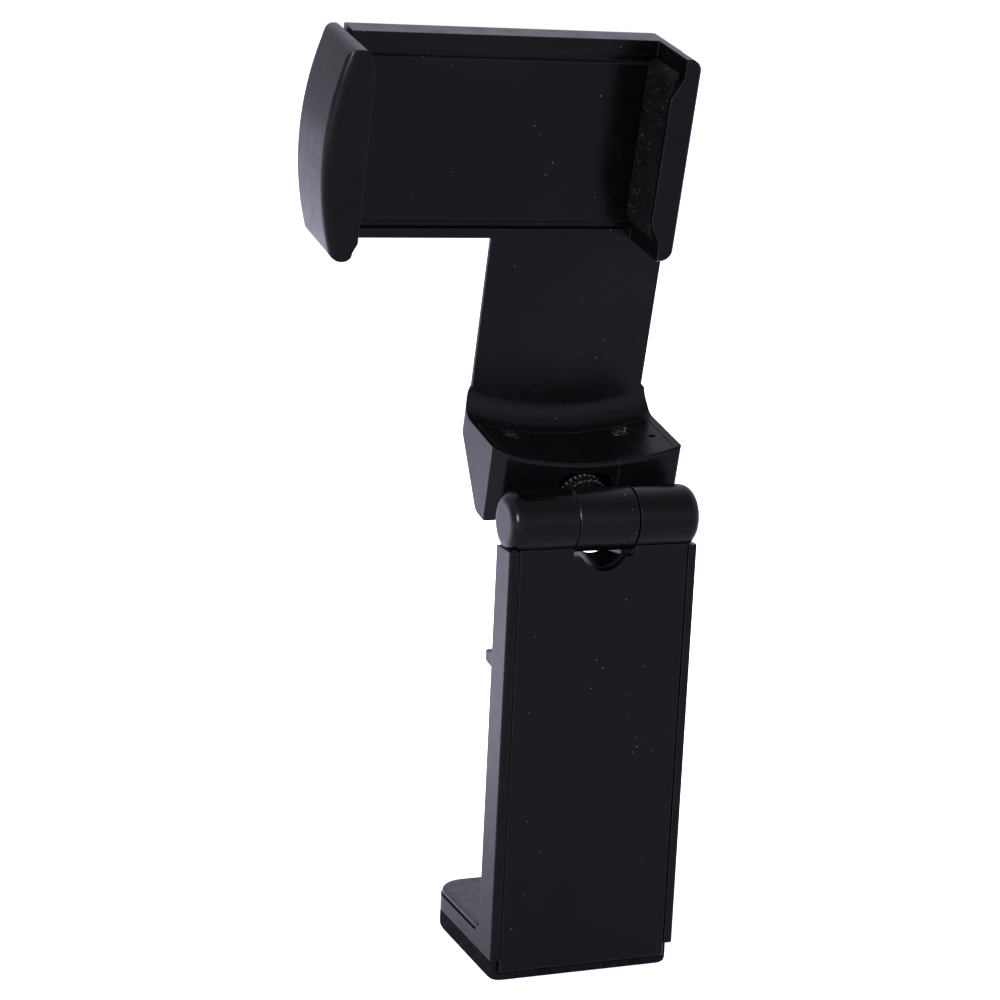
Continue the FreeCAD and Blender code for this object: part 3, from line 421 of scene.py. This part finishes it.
def moulded_rubber(name, node, body, materials, voxel, pebble, lean=0.0):
    """A rubber piece from its plain solid: remeshed square to its lean, smoothed, and pebbled inwards."""
    upright = Matrix.Rotation(-lean, 4, "X")
    mesh = NODES[node].data.copy()
    mesh.name = name
    mesh.transform(upright)
    piece = bpy.data.objects.new(name, mesh)
    bpy.context.scene.collection.objects.link(piece)
    grid = piece.modifiers.new("grid", "REMESH")
    grid.mode = "VOXEL"
    grid.voxel_size = voxel
    bpy.context.view_layer.update()
    fine = bpy.data.meshes.new_from_object(piece.evaluated_get(bpy.context.evaluated_depsgraph_get()))
    piece.modifiers.remove(grid)
    piece.data = fine
    shape = bmesh.new()
    shape.from_mesh(fine)
    for _ in range(SMOOTHING_ROUNDS):
        bmesh.ops.smooth_vert(shape, verts=shape.verts, factor=SMOOTHING_SHARE,
                              use_axis_x=True, use_axis_y=True, use_axis_z=True)
    shape.normal_update()
    for vertex in shape.verts:
        depth = pebble * (0.5 + 0.5 * noise.noise(vertex.co * PEBBLE_SCALE))
        vertex.co -= vertex.normal * depth
    for face in shape.faces:
        face.smooth = True
    shape.transform(upright.inverted())
    shape.to_mesh(fine)
    shape.free()
    dress(piece, SLOT_OF[node], materials)
    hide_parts(node)
    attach(piece, body)


def make_rubber_pieces(materials):
    moulded_rubber("foot_sole_rubber", "foot_sole", "clamp", materials,
                   voxel=0.50 * MM, pebble=0.04 * MM)
    moulded_rubber("foot_grip_rubber", "foot_grip_pad", "clamp", materials,
                   voxel=0.40 * MM, pebble=0.01 * MM)
    moulded_rubber("upper_jaw_rubber", "upper_jaw_pad", "clamp_jaw", materials,
                   voxel=0.40 * MM, pebble=0.04 * MM)
    moulded_rubber("right_jaw_rubber", "right_jaw_pad", "cradle", materials,
                   voxel=0.35 * MM, pebble=0.05 * MM, lean=LEAN)
    moulded_rubber("left_jaw_rubber", "left_jaw_pad", "slide_jaw", materials,
                   voxel=0.35 * MM, pebble=0.05 * MM, lean=LEAN)


# ---------------------------------------------------------------- coil springs

SPRING_WIRE = 0.42 * MM
SPRING_PITCH = 1.7 * MM
WIRE_SIDES = 8
STEPS_PER_TURN = 20
WELD_GAP = 0.001 * MM


def coil_spring(name, start, length, outer_radius):
    """A plain wire helix of even pitch that runs along -x from start, the middle of its right end."""
    radius = outer_radius - SPRING_WIRE / 2
    turns = round(length / SPRING_PITCH)
    steps = turns * STEPS_PER_TURN
    span = length - SPRING_WIRE
    shape = bmesh.new()
    rings = []
    for step in range(steps + 1):
        angle = math.tau * step / STEPS_PER_TURN
        outward = Vector((0.0, math.cos(angle), math.sin(angle)))
        middle = start + Vector((-SPRING_WIRE / 2 - span * step / steps, 0.0, 0.0)) + outward * radius
        ring = []
        for n in range(WIRE_SIDES):
            side = math.tau * n / WIRE_SIDES
            across = outward * math.cos(side) + Vector((math.sin(side), 0.0, 0.0))
            ring.append(shape.verts.new(middle + SPRING_WIRE / 2 * across))
        rings.append(ring)
    for ring, following in zip(rings, rings[1:]):
        for n in range(WIRE_SIDES):
            after = (n + 1) % WIRE_SIDES
            shape.faces.new((ring[n], ring[after], following[after], following[n]))
    shape.faces.new(rings[0][::-1])
    shape.faces.new(rings[-1])
    bmesh.ops.recalc_face_normals(shape, faces=shape.faces)
    for face in shape.faces:
        face.smooth = True
    mesh = bpy.data.meshes.new(name)
    shape.to_mesh(mesh)
    shape.free()
    piece = bpy.data.objects.new(name, mesh)
    bpy.context.scene.collection.objects.link(piece)
    return piece


def node_islands(name):
    """The boxes of a node's separate solids, lowest first."""
    shape = bmesh.new()
    shape.from_mesh(NODES[name].data)
    bmesh.ops.remove_doubles(shape, verts=shape.verts, dist=WELD_GAP)
    left = set(shape.verts)
    boxes = []
    while left:
        reached = [left.pop()]
        island = []
        while reached:
            vertex = reached.pop()
            island.append(vertex.co.copy())
            for edge in vertex.link_edges:
                other = edge.other_vert(vertex)
                if other in left:
                    left.remove(other)
                    reached.append(other)
        boxes.append((Vector(map(min, zip(*island))), Vector(map(max, zip(*island)))))
    shape.free()
    return sorted(boxes, key=lambda corners: corners[0].z)


def make_jaw_springs(materials):
    """Wound springs in place of the plain tubes, on the cradle."""
    for side, (low, high) in zip(("low", "high"), node_islands("jaw_springs")):
        middle = (low + high) / 2
        length = high.x - low.x
        radius = (high.z - low.z) / 2
        spring = coil_spring(f"jaw_spring_{side}", Vector((high.x, middle.y, middle.z)), length, radius)
        dress(spring, "steel", materials)
        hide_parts("jaw_springs")
        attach(spring, "cradle")
        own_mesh(spring)


add_camera()
add_sky()
add_floor()
add_glint()
finishes = make_materials()
dress_cad_nodes(finishes)
make_rubber_pieces(finishes)
make_jaw_springs(finishes)
bpy.context.scene.view_settings.view_transform = "Standard"
